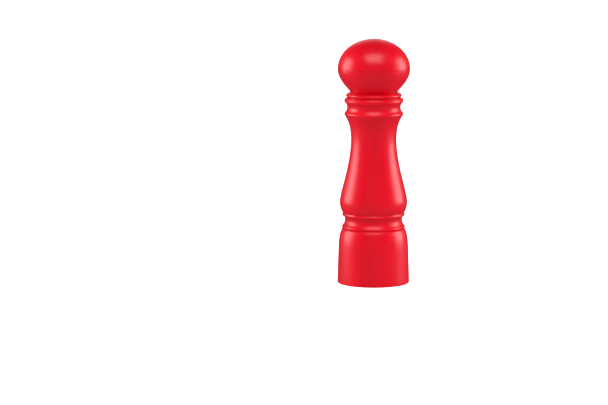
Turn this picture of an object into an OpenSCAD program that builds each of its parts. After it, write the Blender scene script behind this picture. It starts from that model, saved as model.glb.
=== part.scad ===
// Spice mill: a turned-looking body with a ceramic conical grinder in its base,
// a ball head that drives the grinder through a hexagonal shaft and lifts off for filling,
// and a screw-in adjuster dial in the foot that raises the grinding cone.
// Units are millimetres. +Z is up, and the origin is the centre of the foot.

/* [Outline] */
// Overall height
top_z = 210; // [208:0.5:214]
// Radius of the foot
foot_r = 30.85; // [30.6:0.05:31.5]
// Radius of the bulge above the base
bulge_r = 28.9; // [28.5:0.1:30]
// Radius of the waist
waist_r = 19.4; // [19.4:0.1:20.5]
// Widest radius of the head
ball_r = 30.9; // [30.5:0.1:32]
// Height of the widest point of the head
equator_z = 184.4; // [183.6:0.1:185.6]

/* [Adjuster dial] */
// Number of outlet slots
slot_count = 4; // [3:1:4]
// Inner radius of a slot
slot_in_r = 13; // [12.4:0.1:14]
// Outer radius of a slot
slot_out_r = 21; // [20:0.1:21]
// Angle that a slot spans
slot_span = 67.8; // [40:0.2:76]
// How far the dial screws in from coarse to fine
dial_travel = 1.2; // [0.6:0.1:1.3]

/* [Grinder] */
// Outer radius of the ceramic ring
ring_r = 20.7; // [20.5:0.1:20.8]
// Outer radius of the ceramic cone
cone_r = 15.1; // [14.6:0.1:15.2]
// Teeth on each ceramic face
tooth_count = 24; // [12:1:28]

/* [Drive] */
// Hexagonal shaft, across flats
shaft_af = 6; // [5:0.1:6.2]
// Height of the top end of the shaft
shaft_top = 172; // [169:0.5:173]
// Thickness of the spring's wire
spring_wire = 0.9; // [0.7:0.1:1]
// Number of turns in the spring
spring_turns = 5; // [4:0.5:6]

/* [Hidden] */
$fn = 96;

red = "#c8102e";
white = "#ecebe6";
ceramic = "#f4f1ea";
steel = "#b9bcc0";
silicone = "#d8d6d0";

fit = 0.05;          // gap between pieces that are assembled together
run = 0.1;           // radial gap of a piece that turns or slides in another
third = 120;         // three screws, arms and keys are a third of a turn apart
cut = 1;             // how far a cutting shape runs past the face that it cuts

// Heights in the body
foot_round = 1.2;
shoulder_z = 28.7;
bulge_z = 70;
waist_z = 124;
mouth_z = 159.9;
mouth_r = 19.6;
neck_r = 16.4;       // hopper radius at the waist
hopper_r = 21.4;     // hopper radius in the bulge

// Grinder cartridge, from the foot upwards
bore_r = 26;
shelf_z = 35.6;      // ledge in the body that the cartridge is pushed up against
housing_r = bore_r - fit;
housing_z0 = 0.4;
housing_z1 = 33;
rim_r = 25.2;         // inner edge of the flat rim
dial_bore_r = 23.1;
seat_r = 21.5;
lip_r = 20.05;
lip_z = 10.4;
lip_thick = 1;
snap_z = 28.65;
snap_h = 0.35;
key_w = 3;
key_r = 24.8;
key_z = 20;
screw_ring_r = 23.6;

// Dial, at the coarse end of its travel
dial_r = dial_bore_r - run;
disc_z0 = 3.7;
disc_z1 = 5.2;
slot_corner_r = 1.6;
boss_r = 8;
boss_z = 7.2;
skirt_z = lip_z - lip_thick - dial_travel - 0.5;

// Rotor and ring
washer_z0 = boss_z + fit;
washer_z1 = washer_z0 + 1;
core_z0 = washer_z1 + fit;
core_z1 = 24.3;
core_r = 5;
core_flange_r = 8.8;
core_flange_z = 9.7;
cone_z0 = 9.1;
cone_z1 = 23.25;
flare = [cone_r, 9.6];               // widest point of the cone's finishing face
flare_top = [cone_r - 1.8, 11.9];    // its upper end
flare_tilt = atan2(flare_top[1] - flare[1], flare[0] - flare_top[0]);
flare_gap = dial_travel + 0.45;      // ring face above the cone face, coarse setting
ring_z0 = 8.5;                       // face of the ring's nose, which the dial's skirt goes round
ring_z1 = 26;
nose_r = lip_r - 0.15;

// Bridge, bush and shaft fittings
plate_z0 = housing_z1 + fit;
plate_z1 = shelf_z - 0.1;
plate_r = 25.7;
hub_z0 = 33.7;
hub_z1 = 41;
hub_r = 7.9;
bush_r = 5.6;
journal_r = 4.5;
collar_z0 = hub_z0 - 1;
collar_flange_z = hub_z1 + fit;
collar_z1 = 42.4;
clip_t = 0.7;
clip_r = 5.2;
clip_neck_r = 2.6;
clip_zs = [collar_z0 - fit - clip_t, collar_z1 + fit];
spring_r = 6.4;
spring_z0 = 24;
spring_z1 = 31.7;

// Head
head_z = 160.15;
spigot_r = mouth_r - run;
spigot_in_r = 16.9;
spigot_z = 150.5;
floor_z0 = 161.6;
floor_z1 = 164.4;
head_wall = 2.6;
lap_h = 2.4;
socket_r = 6.1;
socket_flange_r = 12.4;
socket_z0 = 159.2;
socket_z1 = 176.5;
socket_bore_z = 173.6;
clip_ring_z = 168;
seal_z = 155;
seal_wire = 1.6;
socket_screw_r = 9.4;
pilot_r = 1;

// ---- curves, as lists of [radius, height] ----

// Cubic curve from p0 to p3 in n steps, without its first point
function bezier(p0, p1, p2, p3, n) =
    [for (i = [1:n]) let (t = i / n, u = 1 - t)
        u*u*u*p0 + 3*u*u*t*p1 + 3*u*t*t*p2 + t*t*t*p3];

// Arc of a circle round centre c from angle a0 to angle a1
function arc(c, r, a0, a1, n) =
    [for (i = [0:n]) let (a = a0 + (a1 - a0) * i / n) c + r * [cos(a), sin(a)]];

// Quarter ellipse from the equator to the top, semi-axes a and b
function dome_curve(a, b, z0, n) =
    [for (i = [0:n]) let (t = 90 * i / n) [a * cos(t), z0 + b * sin(t)]];

function reversed(v) = [for (i = [len(v) - 1:-1:0]) v[i]];

// Outside of the body from the foot to the mouth: drum, two beads, bulge, waist, two rings
function body_outline() = concat(
    arc([foot_r - foot_round, foot_round], foot_round, -90, 0, 5),
    [[foot_r - 0.85, shoulder_z]],
    bezier([foot_r - 0.85, shoulder_z], [foot_r - 1.1, 36.5], [foot_r - 1.55, 42.5], [26.95, 47], 12),
    arc([25.5, 48.75], 1.55, -61, 44, 8),
    arc([31.8, 54.9], 7.25, 219, 154, 9),
    arc([25.5, 59.35], 1.35, -96, 38, 7),
    [[26.3, 60.8]],
    bezier([26.4, 61], [28, 63.2], [bulge_r, 66.5], [bulge_r, bulge_z], 8),
    bezier([bulge_r, bulge_z], [bulge_r, 78.7], [waist_r, 102.4], [waist_r, waist_z], 22),
    bezier([waist_r, waist_z], [waist_r, 136.9], [23.25, 141.98], [24.85, 144.75], 12),
    arc([22.95, 145.85], 2.2, -25, 44, 6),
    arc([28.47, 151.5], 5.7, 222, 138, 9),
    arc([23.25, 157], 1.9, -42, 0, 4),
    arc([23.4, 157.8], 1.75, 0, 84, 6),
    [[22.8, mouth_z - 0.25], [22.8, mouth_z]]
);

// Hollow of the body from the mouth down to the foot
function hopper_outline() = concat(
    [[mouth_r + 0.3, mouth_z], [mouth_r, mouth_z - 0.4], [mouth_r, 143], [neck_r, 134]],
    bezier([neck_r, 118], [neck_r, 100], [hopper_r, 80], [hopper_r, 62], 10),
    [[hopper_r, 50.5], [bore_r - 1.1, shelf_z], [bore_r, shelf_z]],
    snap_outline(bore_r),
    [[bore_r, 0.3], [bore_r + 0.3, 0]]
);

// Snap bead of the cartridge, or the groove it springs into, from top to bottom
function snap_outline(r) = [
    [r, snap_z + 2*snap_h], [r + snap_h, snap_z + snap_h],
    [r + snap_h, snap_z - snap_h], [r, snap_z - 2*snap_h]
];

// Outside of the lower head from its seat to the equator
function cup_outline() = concat(
    [[22.2, head_z]],
    arc([22.2, 161.9], 1.55, -78, 80, 9),
    [[20, 164.9]],
    bezier([20, 164.9], [25.9, 171.1], [ball_r, 177], [ball_r, equator_z], 16)
);

// ---- shared shapes ----

module tube(r_in, r_out, z0, z1) {
    difference() {
        translate([0, 0, z0]) cylinder(r = r_out, h = z1 - z0);
        translate([0, 0, z0 - cut]) cylinder(r = r_in, h = z1 - z0 + 2*cut);
    }
}

module hexagon(af, z0, z1) {
    translate([0, 0, z0]) rotate(30) cylinder(r = af / sqrt(3), h = z1 - z0, $fn = 6);
}

// Straight bore with the shaft's own section
module hex_bore(gap, z0, z1) {
    hexagon(shaft_af + 2*gap, z0, z1);
}

// Children at three places round the axis
module thirds(r, first = 0) {
    for (i = [0:2]) rotate(first + i*third) translate([r, 0, 0]) children();
}

// V-shaped grooves along a cone's slope; tilt is the slope below the horizontal
module grooves(count, at, tilt, skew, length, depth) {
    for (i = [0:count - 1])
        rotate(i * 360 / count)
            translate([at[0], 0, at[1]])
                rotate([0, tilt, 0])
                    rotate(skew)
                        rotate([45, 0, 0])
                            cube([length, depth, depth], center = true);
}

// Pan-head screw standing on its point; z is the underside of its head, up is +1 or -1
module screw(z, head_r, head_h, shank_r, length, up) {
    translate([0, 0, z])
        mirror([0, 0, up > 0 ? 0 : 1])
            difference() {
                rotate_extrude()
                    polygon(concat(
                        [[0, -length], [shank_r, -length + shank_r], [shank_r, 0], [head_r, 0]],
                        arc([head_r - 0.4, head_h - 0.4], 0.4, 0, 90, 3),
                        [[0, head_h]]
                    ));
                translate([-head_r*0.6, -0.25, head_h - 0.55]) cube([head_r*1.2, 0.5, 1]);
                translate([-0.25, -head_r*0.6, head_h - 0.55]) cube([0.5, head_r*1.2, 1]);
            }
}

// Three tongues that keep the cartridge from turning in the body, or, made larger, their slots
module keys(w, r_in, r_out, z0, z1) {
    thirds(0, third/2)
        translate([r_in, -w/2, z0]) cube([r_out - r_in, w, z1 - z0]);
}

// ---- body ----

module body_shell() {
    color(red) {
        rotate_extrude() polygon(concat(body_outline(), hopper_outline()));
        keys(key_w, key_r, bore_r + 1, key_z + 0.1, housing_z1);
    }
}

module grinder_housing() {
    color(red) {
        difference() {
            rotate_extrude()
                polygon(concat(
                    [[rim_r, housing_z0], [housing_r - 0.25, housing_z0],
                     [housing_r, housing_z0 + 0.25]],
                    reversed(snap_outline(housing_r)),
                    [[housing_r, housing_z1], [seat_r, housing_z1], [seat_r, lip_z], [lip_r, lip_z],
                     [lip_r, lip_z - lip_thick], [dial_bore_r, lip_z - lip_thick],
                     [dial_bore_r, disc_z0], [rim_r - 0.35, housing_z0 + 0.25]]
                ));
            keys(key_w + 2*run, key_r - run, bore_r + cut, key_z, housing_z1 + cut);
            thirds(screw_ring_r)
                translate([0, 0, housing_z1 - 7.5]) cylinder(r = pilot_r, h = 8.5);
        }
        index_dot();
    }
}

// Raised dot on the rim that the dial's mark is read against
module index_dot() {
    dot_r = 0.35;
    rotate(45)
        translate([(rim_r + housing_r) / 2, 0, housing_z0 - 0.3])
            cylinder(r = dot_r, h = 0.6);
}

module grind_ring() {
    slope = (flare[0] - flare_top[0]) / (flare_top[1] - flare[1]);
    mouth_gap = 0.85;    // how much wider than the cone the face is, at its two ends
    throat_gap = 0.3;
    mouth = [cone_r + mouth_gap, flare[1] + flare_gap - mouth_gap / slope];
    throat = [flare_top[0] + throat_gap, flare_top[1] + flare_gap - throat_gap / slope];
    funnel = [14.8, 18];
    rim = [18, ring_z1];
    color(ceramic)
        difference() {
            rotate_extrude()
                polygon([
                    [nose_r, ring_z0 + 0.3], [nose_r, lip_z + fit], [ring_r, lip_z + fit],
                    [ring_r, ring_z1 - 0.4], [ring_r - 0.4, ring_z1], rim, funnel, throat, mouth,
                    [mouth[0], ring_z0 + 0.2], [mouth[0] + 0.2, ring_z0], [nose_r - 0.3, ring_z0]
                ]);
            grooves(tooth_count, (throat + mouth) / 2, flare_tilt, 14, 5, 0.8);
            grooves(tooth_count / 2, (funnel + rim) / 2, 180 - atan2(rim[1] - funnel[1], rim[0] - funnel[0]),
                    -12, 9, 1.3);
        }
}

module ring_cushion() {
    color(silicone) tube(ring_r + fit, seat_r - fit, lip_z + fit, ring_z1 - fit);
}

module ring_retainer() {
    top = 28.15;
    color(white)
        rotate_extrude()
            polygon([
                [18.1, ring_z1 + fit], [seat_r - fit, ring_z1 + fit],
                [seat_r - fit, top], [19.4, top]
            ]);
}

// Spider over the grinder: it clamps the ring, carries the bush and lets the spice fall through
module feed_bridge() {
    skirt_r = 19.6;
    arm_w = 3.6;
    arm_top = 38.4;
    sink_r = 1.9;
    color(white)
        difference() {
            union() {
                rotate_extrude()
                    polygon([
                        [skirt_r, 28.2], [seat_r - fit, 28.2], [seat_r - fit, plate_z0],
                        [plate_r, plate_z0], [plate_r, plate_z1 - 0.3], [plate_r - 0.3, plate_z1],
                        [skirt_r + 0.8, plate_z1], [skirt_r, plate_z1 - 0.8]
                    ]);
                translate([0, 0, hub_z0]) cylinder(r = hub_r, h = hub_z1 - hub_z0 - 0.6);
                translate([0, 0, hub_z1 - 0.6]) cylinder(r1 = hub_r, r2 = hub_r - 0.6, h = 0.6);
                thirds(0)
                    translate([bush_r + 0.8, 0, 0])
                        rotate([90, 0, 90])
                            linear_extrude(height = skirt_r - bush_r)
                                polygon([
                                    [-arm_w/2, hub_z0], [arm_w/2, hub_z0], [arm_w/2, arm_top - 2.2],
                                    [0, arm_top], [-arm_w/2, arm_top - 2.2]
                                ]);
            }
            translate([0, 0, hub_z0 - cut]) cylinder(r = bush_r + fit, h = hub_z1 - hub_z0 + 2*cut);
            thirds(screw_ring_r) {
                translate([0, 0, plate_z0 - cut]) cylinder(r = pilot_r + 0.15, h = 5);
                translate([0, 0, plate_z1 - 1.35]) cylinder(r = sink_r, h = 3);
            }
            keys(key_w + 2*run, key_r - run, bore_r + cut, plate_z0 - cut, plate_z1 + cut);
        }
}

module bridge_bush() {
    flange_r = 7.2;
    bore = journal_r + 0.06;
    color(white)
        rotate_extrude()
            polygon([
                [bore, collar_z0 - fit], [flange_r, collar_z0 - fit], [flange_r, hub_z0 - fit],
                [bush_r, hub_z0 - fit], [bush_r, hub_z1], [bore + 0.3, hub_z1], [bore, hub_z1 - 0.3]
            ]);
}

module bridge_screws() {
    color(steel)
        thirds(screw_ring_r)
            screw(plate_z1 - 1.35, 1.7, 1.2, pilot_r - 0.03, 8, 1);
}

module spring_seat() {
    color(steel) tube(5.6, 7.4, spring_z1 + fit, collar_z0 - 2*fit);
}

// ---- spring ----

spring_sides = 8;
spring_steps = 24;                       // rings of points per turn
spring_n = spring_turns * spring_steps;
closed_turns = 0.75;                     // flat end turns
end_rise = closed_turns * spring_wire * 1.04;
free_rise = spring_z1 - spring_z0 - spring_wire - 2*fit - 2*end_rise;

// Height of the wire's centre after t turns
function spring_height(t) =
    let (free = spring_turns - 2*closed_turns, mid = min(max(t - closed_turns, 0), free))
    spring_z0 + fit + spring_wire/2
        + end_rise * (min(t, closed_turns) + max(t - closed_turns - free, 0)) / closed_turns
        + free_rise * mid / free;

function spring_ring(i) =
    let (t = i / spring_steps, z = spring_height(t), w = spring_wire / 2)
    [for (j = [0:spring_sides - 1])
        let (a = j * 360 / spring_sides, r = spring_r + w * cos(a))
        [r * cos(360*t), r * sin(360*t), z + w * sin(a)]];

module spring() {
    points = [for (i = [0:spring_n]) each spring_ring(i)];
    sides = [for (i = [0:spring_n - 1], j = [0:spring_sides - 1])
        let (a = i*spring_sides, b = a + spring_sides, k = (j + 1) % spring_sides)
        [a + j, a + k, b + k, b + j]];
    first = [for (j = [spring_sides - 1:-1:0]) j];
    last = [for (j = [0:spring_sides - 1]) spring_n*spring_sides + j];
    color(steel) polyhedron(points, concat([first], sides, [last]), convexity = 8);
}

// ---- drive shaft and what is fixed to it ----

module drive_shaft() {
    tip = 1.2;
    corner = shaft_af / sqrt(3);
    shaft_z0 = washer_z1 + dial_travel + 0.15;
    color(steel)
        difference() {
            intersection() {
                hexagon(shaft_af, shaft_z0, shaft_top);
                rotate_extrude()
                    polygon([
                        [0, shaft_z0 - cut], [corner - 0.6, shaft_z0 - cut], [corner - 0.6, shaft_z0],
                        [corner + 0.2, shaft_z0 + 0.8], [corner + 0.2, shaft_top - tip],
                        [corner - tip, shaft_top + 0.1], [0, shaft_top + 0.1]
                    ]);
            }
            for (z = clip_zs) tube(clip_neck_r, 6, z - fit, z + clip_t + fit);
            tube(clip_neck_r + 0.1, 6, clip_ring_z - 0.5, clip_ring_z + 0.5);
        }
}

module shaft_collar() {
    color(white)
        difference() {
            union() {
                translate([0, 0, collar_z0]) cylinder(r = journal_r, h = collar_z1 - collar_z0);
                translate([0, 0, collar_flange_z])
                    cylinder(r = 6.4, h = collar_z1 - collar_flange_z);
            }
            hex_bore(0.03, collar_z0 - cut, collar_z1 + cut);
        }
}

module shaft_clips() {
    color(steel)
        for (z = clip_zs)
            difference() {
                tube(clip_neck_r + fit, clip_r, z, z + clip_t);
                translate([1, -1.9, z - cut]) cube([8, 3.8, 3]);
                thirds(3.9, third/2)
                    translate([0, 0, z - cut]) cylinder(r = 0.6, h = 3);
            }
}

// ---- rotor ----

module rotor_lugs(gap) {
    w = 1.8 + 2*gap;
    thirds(0)
        translate([core_r - 0.6, -w/2, core_flange_z - 0.5])
            cube([2.4 + gap, w, 2 + gap]);
}

module rotor_core() {
    color(white)
        difference() {
            union() {
                rotate_extrude()
                    polygon([
                        [0, core_z0], [core_flange_r - 0.3, core_z0], [core_flange_r, core_z0 + 0.3],
                        [core_flange_r, core_flange_z], [core_r, core_flange_z],
                        [core_r, cone_z1], [core_r - 0.5, cone_z1], [core_r - 0.5, cone_z1 + 0.75],
                        [core_r, cone_z1 + 0.75], [core_r - 0.2, core_z1], [0, core_z1]
                    ]);
                rotor_lugs(0);
            }
            hex_bore(fit, core_z0 - cut, core_z1 + cut);
        }
}

module grind_cone() {
    crown = [8.4, 22.9];
    upper_tilt = atan2(crown[1] - flare_top[1], flare_top[0] - crown[0]);
    color(ceramic)
        difference() {
            rotate_extrude()
                polygon([
                    [core_r + fit, core_flange_z + fit], [core_flange_r + 0.1, core_flange_z + fit],
                    [core_flange_r + 0.1, cone_z0], [cone_r - 0.3, cone_z0], [cone_r, cone_z0 + 0.3],
                    flare, flare_top, crown, [crown[0] - 0.4, cone_z1], [core_r + fit, cone_z1]
                ]);
            rotor_lugs(fit);
            grooves(tooth_count, (flare + flare_top) / 2, flare_tilt, -14, 6, 0.7);
            grooves(6, (flare_top + crown) / 2, upper_tilt, 20, 14, 2.6);
        }
}

module cone_retainer() {
    color(steel)
        difference() {
            tube(core_r - 0.45, 7.6, cone_z1 + fit, cone_z1 + 0.7);
            translate([3, -0.8, cone_z1 - cut]) cube([6, 1.6, 3]);
        }
}

// ---- adjuster ----

module thrust_washer() {
    color(steel) tube(2, 7.6, washer_z0, washer_z1);
}

// Plan of one slot: a band along an arc, with its corners rounded
function slot_plan() =
    let (
        c = slot_corner_r,
        out = slot_out_r - c,
        in = slot_in_r + c,
        half_out = slot_span/2 - asin(c / out),
        half_in = slot_span/2 - asin(c / in)
    )
    concat(
        arc([0, 0], slot_out_r, -half_out, half_out, 12),
        arc(out * [cos(half_out), sin(half_out)], c, half_out + 15, slot_span/2 + 90, 5),
        arc(in * [cos(half_in), sin(half_in)], c, slot_span/2 + 90, half_in + 165, 5),
        arc([0, 0], slot_in_r, half_in, -half_in, 9),
        arc(in * [cos(half_in), -sin(half_in)], c, 195 - half_in, 270 - slot_span/2, 5),
        arc(out * [cos(half_out), -sin(half_out)], c, 270 - slot_span/2, 345 - half_out, 5)
    );

module adjuster_dial() {
    hub_disc_r = 12.2;
    hub_proud = 0.2;
    nub_r = 1.3;
    nub_z = 1.2;
    color(red)
        difference() {
            rotate_extrude()
                polygon(concat(
                    arc([0, nub_z + nub_r*0.8], nub_r*0.8, -90, 0, 5),
                    [[nub_r, disc_z0 - hub_proud], [hub_disc_r - 0.3, disc_z0 - hub_proud],
                     [hub_disc_r, disc_z0], [dial_r - 0.3, disc_z0], [dial_r, disc_z0 + 0.3],
                     [dial_r, skirt_z], [slot_out_r, skirt_z], [slot_out_r, disc_z1],
                     [boss_r, disc_z1], [boss_r, boss_z], [0, boss_z]]
                ));
            for (i = [0:slot_count - 1])
                rotate(i * 360 / slot_count)
                    translate([0, 0, disc_z0 - cut])
                        linear_extrude(height = disc_z1 - disc_z0 + 2*cut) polygon(slot_plan());
        }
    color(red) dial_mark();
}

// Short raised line near the edge of the dial, between two slots
module dial_mark() {
    rotate(180 / slot_count)
        translate([slot_out_r - 1.2, 0, disc_z0])
            cube([3.4, 0.7, 0.6], center = true);
}

// ---- head ----

module head_dome() {
    gap_z = equator_z + fit;
    rebate_z = equator_z + lap_h + 0.2;
    rebate_r = ball_r - 1.87;
    in_r = ball_r - head_wall;
    in_h = top_z - equator_z - head_wall;
    t0 = asin((rebate_z - equator_z) / in_h);
    inner = [for (i = [0:22]) let (t = 90 - (90 - t0) * i / 22)
        [in_r * cos(t), equator_z + in_h * sin(t)]];
    outer = dome_curve(ball_r, top_z - equator_z, equator_z, 28);
    color(red)
        rotate_extrude()
            polygon(concat(
                [[rebate_r, gap_z], [ball_r - 0.15, gap_z], [ball_r - 0.005, gap_z + 0.15]],
                [for (i = [1:28]) i == 28 ? [0, top_z] : outer[i]],
                [[0, top_z - head_wall]],
                [for (i = [1:22]) inner[i]],
                [[rebate_r, rebate_z]]
            ));
}

module head_cup() {
    in_r = ball_r - head_wall;
    lip_in_r = ball_r - 3.17;
    lip_out_r = ball_r - 1.97;
    groove_r = mouth_r - 0.04 - seal_wire - fit;
    color(red)
        difference() {
            union() {
                rotate_extrude()
                    polygon(concat(
                        [[spigot_in_r, spigot_z], [spigot_r - 0.4, spigot_z], [spigot_r, spigot_z + 0.4],
                         [spigot_r, seal_z - 0.9], [groove_r, seal_z - 0.9],
                         [groove_r, seal_z + 0.9], [spigot_r, seal_z + 0.9], [spigot_r, head_z]],
                        cup_outline(),
                        [[lip_out_r, equator_z], [lip_out_r, equator_z + lap_h],
                         [lip_in_r, equator_z + lap_h], [lip_in_r, equator_z - 0.6]],
                        reversed(bezier([17, floor_z1], [22.4, 169.8], [in_r, 176.5],
                                        [in_r, equator_z - 1.2], 14)),
                        [[17, floor_z1], [socket_r + fit, floor_z1], [socket_r + fit, floor_z0],
                         [spigot_in_r, floor_z0]]
                    ));
                thirds(socket_screw_r)
                    translate([0, 0, floor_z1 - 0.5]) cylinder(r = 2.5, h = 4.6);
            }
            thirds(socket_screw_r)
                translate([0, 0, floor_z0 - cut]) cylinder(r = pilot_r, h = 7);
        }
}

// Hexagonal socket in the head that takes the top of the shaft
module drive_socket() {
    color(white)
        difference() {
            union() {
                translate([0, 0, socket_z0]) cylinder(r = socket_flange_r, h = floor_z0 - fit - socket_z0);
                translate([0, 0, socket_z0]) cylinder(r = socket_r, h = socket_z1 - socket_z0 - 0.8);
                translate([0, 0, socket_z1 - 0.8]) cylinder(r1 = socket_r, r2 = socket_r - 0.8, h = 0.8);
            }
            hex_bore(0.06, socket_z0 - cut, socket_bore_z);
            translate([0, 0, socket_z0 - 0.01]) cylinder(r1 = 4.6, r2 = 3.2, h = 1.4);
            tube(2, 4.35, clip_ring_z - 0.5, clip_ring_z + 0.5);
            thirds(socket_screw_r)
                translate([0, 0, socket_z0 - cut]) cylinder(r = pilot_r + 0.15, h = 5);
        }
}

module socket_screws() {
    color(steel)
        thirds(socket_screw_r)
            screw(socket_z0 - fit, 1.9, 1.2, pilot_r - 0.03, 7, -1);
}

module socket_clip() {
    wire_r = 0.35;
    color(steel)
        difference() {
            translate([0, 0, clip_ring_z])
                rotate_extrude() translate([shaft_af / sqrt(3) + 0.1 + wire_r, 0]) circle(r = wire_r);
            translate([2, -0.5, clip_ring_z - 1]) cube([4, 1, 2]);
        }
}

module head_seal() {
    color(silicone)
        translate([0, 0, seal_z])
            rotate_extrude()
                translate([mouth_r - 0.04 - seal_wire/2, 0]) circle(r = seal_wire/2);
}

body_shell();
grinder_housing();
grind_ring();
ring_cushion();
ring_retainer();
feed_bridge();
bridge_bush();
bridge_screws();
spring_seat();
spring();
drive_shaft();
shaft_collar();
shaft_clips();
rotor_core();
grind_cone();
cone_retainer();
thrust_washer();
adjuster_dial();
head_dome();
head_cup();
drive_socket();
socket_screws();
socket_clip();
head_seal();
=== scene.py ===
"""Looks of a red plastic spice mill: turned shells, ceramic grinder, steel and white moulded fittings.

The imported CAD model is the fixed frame. Round pieces are lathed again here with fine steps, rounded
edges and details such as mould lines, teeth and screw threads. Lengths are in millimetres until a
mesh is made.
"""

import math

import bmesh
import bpy
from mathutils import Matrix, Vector


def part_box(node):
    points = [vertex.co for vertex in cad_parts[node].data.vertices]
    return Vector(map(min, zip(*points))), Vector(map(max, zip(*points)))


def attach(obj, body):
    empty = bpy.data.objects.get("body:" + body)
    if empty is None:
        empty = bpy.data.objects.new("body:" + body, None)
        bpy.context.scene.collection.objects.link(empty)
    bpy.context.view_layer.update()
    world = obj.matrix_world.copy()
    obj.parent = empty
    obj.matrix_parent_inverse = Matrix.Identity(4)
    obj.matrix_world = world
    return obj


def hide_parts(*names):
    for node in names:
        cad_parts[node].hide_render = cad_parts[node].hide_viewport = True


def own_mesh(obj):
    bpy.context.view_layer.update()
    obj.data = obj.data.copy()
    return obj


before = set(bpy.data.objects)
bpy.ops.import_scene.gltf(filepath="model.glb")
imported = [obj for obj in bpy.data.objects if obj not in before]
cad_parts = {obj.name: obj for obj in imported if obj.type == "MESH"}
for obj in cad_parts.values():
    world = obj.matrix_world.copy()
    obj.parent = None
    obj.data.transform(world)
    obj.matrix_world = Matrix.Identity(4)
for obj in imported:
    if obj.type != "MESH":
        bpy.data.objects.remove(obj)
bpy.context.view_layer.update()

MM = 0.001
STEPS = 192                 # steps round a turned piece
FIT = 0.05                  # gap between pieces that are assembled together
SLIVER = 0.002              # points closer than this are merged after a boolean
THIRDS = (0, 120, 240)      # screws, arms and keys are a third of a turn apart


def edges_of(node):
    """Lowest and highest corner of a CAD node, in millimetres."""
    low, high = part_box(node)
    return low / MM, high / MM


# ---- sizes, from the frame where it gives them ----

body_high = edges_of("body_shell")[1]
cup_low = edges_of("head_cup")[0]
dome_low, dome_high = edges_of("head_dome")
dial_low, dial_high = edges_of("adjuster_dial")
ring_low, ring_high = edges_of("grind_ring")
cone_low, cone_high = edges_of("grind_cone")
spring_low, spring_high = edges_of("spring")
shaft_low, shaft_high = edges_of("drive_shaft")
socket_low, socket_high = edges_of("drive_socket")

FOOT_R = body_high.x
BULGE_R = 28.9
BULGE_Z = 70
WAIST_R = 19.4
WAIST_Z = 124
SHOULDER_Z = 28.7           # where the drum starts to curve in
MOUTH_R = 19.6
MOUTH_Z = body_high.z
BORE_R = 26                 # bore of the foot, which holds the grinder cartridge
SHELF_Z = 35.6              # step at the top of that bore
KEY_R = 24.8                # inner face of the keys in the bore
KEY_Z = 20.1                # lower end of the keys

HOUSING_R = BORE_R - FIT
HOUSING_TOP = edges_of("grinder_housing")[1].z
SNAP_Z = 28.65              # middle of the housing's snap bead
SNAP_H = 0.35               # the bead stands out by this much
RIM_R = 25.2                # inner edge of the housing's rim
RIM_Z = 0.4                 # underside of the rim
LIP_Z = 10.4                # ledge that the ceramic ring rests on
BRIDGE_SCREW_R = 23.6

DIAL_BORE_R = dial_high.x + 0.1
DISC_Z = 3.7                # underside of the dial's disc
DISC_TOP = 5.2
TEETH = 24

BALL_R = dome_high.x
TOP_Z = dome_high.z
EQUATOR_Z = dome_low.z - FIT
HEAD_WALL = 2.6
LAP = 2.4                   # the cup's lip reaches this far into the dome
SEAT_R = 22.5               # outer edge of the head's seat, just above the body's mouth
SEAT_Z = MOUTH_Z + 0.03
SPIGOT_R = 19.5
FLOOR_Z = 161.6             # underside of the head's floor
FLOOR_TOP = 164.4
NECK_R = 6.1                # neck of the drive socket, which passes through the floor
SOCKET_SCREW_R = 9.4
SEAL_WIRE = 0.8             # radius of the seal's section
SEAL_R = MOUTH_R - 0.04 - SEAL_WIRE
SEAL_Z = 155
PILOT_R = 1                 # pilot holes of all screws


# ---- outlines, as lists of (radius, height) ----

def bezier(p0, p1, p2, p3, n):
    """Cubic curve from p0 to p3 in n steps, without its first point."""
    points = []
    for i in range(1, n + 1):
        t = i / n
        u = 1 - t
        weights = (u * u * u, 3 * u * u * t, 3 * u * t * t, t * t * t)
        points.append(tuple(sum(w * p[k] for w, p in zip(weights, (p0, p1, p2, p3))) for k in (0, 1)))
    return points


def arc(centre, radius, start, end, n):
    """Points on a circle from angle start to angle end, in degrees."""
    angles = [math.radians(start + (end - start) * i / n) for i in range(n + 1)]
    return [(centre[0] + radius * math.cos(a), centre[1] + radius * math.sin(a)) for a in angles]


def quarter_ellipse(a, b, z0, n):
    """From the equator to the pole, with semi-axes a and b."""
    angles = [math.pi / 2 * i / n for i in range(n)]
    return [(a * math.cos(t), z0 + b * math.sin(t)) for t in angles] + [(0, z0 + b)]


def rounded(points, radius, closed=True):
    """The outline with its corners rounded, as far as its shorter sides allow."""
    out = []
    count = len(points)
    for i, p in enumerate(points):
        here = Vector(p)
        before = Vector(points[i - 1]) - here
        after = Vector(points[(i + 1) % count]) - here
        ends = not closed and i in (0, count - 1)
        turn = math.pi - before.angle(after, math.pi)
        if ends or p[0] < 1e-6 or turn < math.radians(15):
            out.append(p)
            continue
        reach = min(radius * math.tan(turn / 2), 0.42 * before.length, 0.42 * after.length)
        a = here + before.normalized() * reach
        b = here + after.normalized() * reach
        steps = max(2, math.ceil(turn / math.radians(20)))
        for k in range(steps + 1):
            t = k / steps
            out.append(tuple(a * (1 - t) ** 2 + here * 2 * t * (1 - t) + b * t * t))
    return out


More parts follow.
